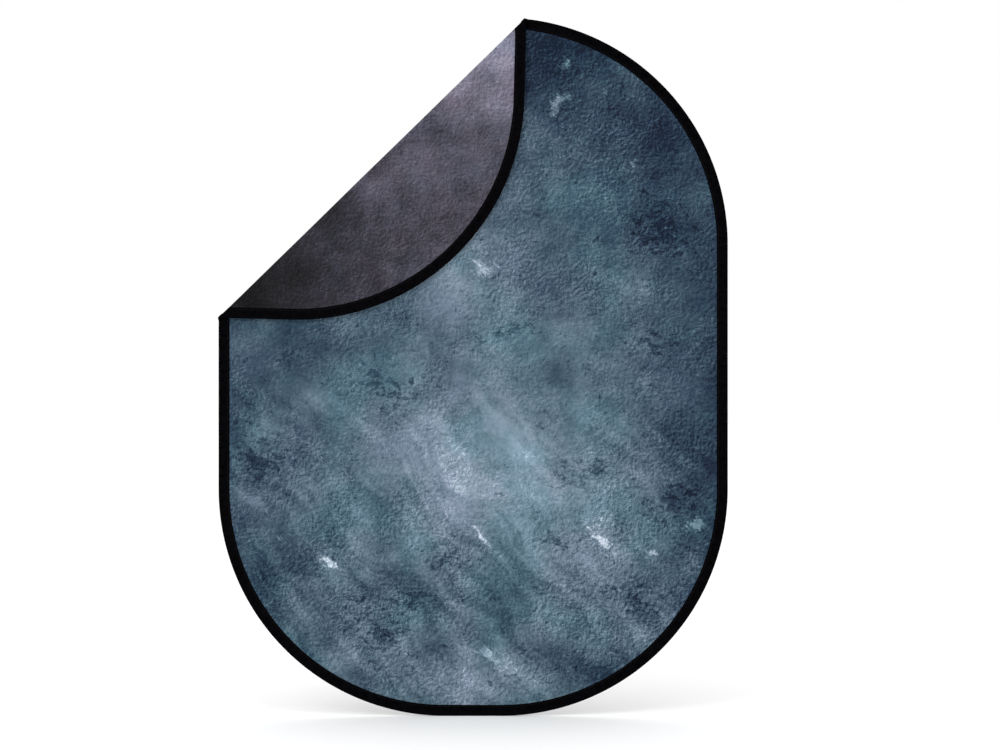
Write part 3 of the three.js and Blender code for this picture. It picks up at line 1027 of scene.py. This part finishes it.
# ---------------------------------------------------------------- pieces
heights = cloth_heights()
upper_rows = heights[heights > BEND_TOP - MM]
lower_rows = heights[heights < BEND_TOP + MM]
right_split = side_length(BEND_TOP)
left_split = side_length(BEND_TOP, left=True)
upper_run = (right_split, left_split)
lower_run = (left_split - EDGE_LENGTH, right_split)
bend_runs = [
    (left_split - EDGE_LENGTH, side_length(BEND_BOTTOM, left=True) - EDGE_LENGTH),
    (side_length(BEND_BOTTOM), right_split),
]

upper_pieces = {
    "upper_front_print": cloth("upper_front_print", upper_rows, -1, blue, True),
    "upper_back_print": cloth("upper_back_print", upper_rows, 1, charcoal, True),
    "upper_binding": swept("upper_binding", [upper_run], tape_section(), tape, True),
    "upper_hoop": swept("upper_hoop", [upper_run], hoop_section(), spring, True),
}
lower_pieces = {
    "lower_front_print": cloth("lower_front_print", lower_rows, -1, blue, False),
    "lower_back_print": cloth("lower_back_print", lower_rows, 1, charcoal, False),
    "lower_binding_tape": swept("lower_binding_tape", [lower_run], tape_section(), tape, False),
    "bend_hoop": swept("bend_hoop", bend_runs, hoop_section(), spring, False),
}
lockstitch = stitch_tree()
upper_pieces["upper_stitches"] = stitches(
    "upper_stitches", lockstitch, *upper_run, True, thread
)
lower_pieces["lower_stitches"] = stitches(
    "lower_stitches", lockstitch, *lower_run, False, thread
)

# The tape is a woven strip folded over the edge
section = np.array(tape_section())

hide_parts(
    "upper_front_cloth", "crease_front_cloth", "corner_front_cloth"
)
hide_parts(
    "upper_back_cloth", "crease_back_cloth", "corner_back_cloth"
)
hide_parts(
    "upper_left_binding",
    "upper_right_binding",
    "crease_left_binding",
    "crease_top_binding",
    "corner_binding",
)
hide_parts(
    "upper_left_hoop",
    "upper_right_hoop",
    "crease_left_hoop",
    "crease_top_hoop",
    "corner_hoop",
)
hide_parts("bend_front_cloth", "lower_front_cloth")
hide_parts("bend_back_cloth", "lower_back_cloth")
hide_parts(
    "bend_left_binding", "bend_right_binding", "lower_binding"
)
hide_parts("bend_left_hoop", "bend_right_hoop")

# Each piece's placement is baked into its mesh. The turned-over corner's rim and the panel's rim lie one
# above the other
for piece in upper_pieces.values():
    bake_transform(piece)
for piece in lower_pieces.values():
    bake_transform(piece)

kept_nodes = {
    "lower_left_hoop": spring,
    "lower_right_hoop": spring,
    "hoop_sleeve": zinc,
    **{f"sleeve_rivet_{k}": rivet for k in range(1, 5)},
}
for name, material in kept_nodes.items():
    for holder in frame["nodes"][name].material_slots:
        holder.material = material

# ---------------------------------------------------------------- studio
def area_light(name, place, aim, size, power):
    """A square soft light turned to face a spot."""
    data = bpy.data.lights.new(name, "AREA")
    data.size = size
    data.energy = power
    lamp = bpy.data.objects.new(name, data)
    lamp.location = place
    way = np.array(aim) - np.array(place)
    lamp.rotation_euler = (
        math.atan2(math.hypot(way[0], way[1]), -way[2]),
        0,
        math.atan2(way[1], way[0]) - math.pi / 2,
    )
    bpy.context.scene.collection.objects.link(lamp)


def pale_floor():
    """A plain near-white studio floor, level with the panel's lowest edge."""
    mesh = bpy.data.meshes.new("floor")
    half = 40
    corners = [(-half, -half, 0), (half, -half, 0), (half, half, 0), (-half, half, 0)]
    mesh.from_pydata(corners, [], [(0, 1, 2, 3)])
    floor = bpy.data.objects.new("floor", mesh)
    bpy.context.scene.collection.objects.link(floor)
    material = new_material(
        "painted_studio_floor",
        Base_Color=linear("#f7f7f7"),
        Roughness=0.9,
        Specular_IOR_Level=0.1,
    )[0]
    mesh.materials.append(material)


pale_floor()
area_light("key_softbox", (-2.6, -4.2, 3.4), (0, 0, 1.0), 2.4, 60)
area_light("fill_softbox", (3.4, -4.0, 2.0), (0, 0, 1.0), 3.0, 20)
overhead = bpy.data.lights.new("overhead_diffuser", "SUN")
overhead.energy = 0.55
overhead.angle = math.radians(80)
bpy.context.scene.collection.objects.link(bpy.data.objects.new("overhead_diffuser", overhead))

world = bpy.data.worlds.new("studio")
world.use_nodes = True
world.node_tree.nodes["Background"].inputs["Color"].default_value = linear("#ffffff")
world.node_tree.nodes["Background"].inputs["Strength"].default_value = 1.0
bpy.context.scene.world = world
bpy.context.scene.view_settings.view_transform = "Standard"
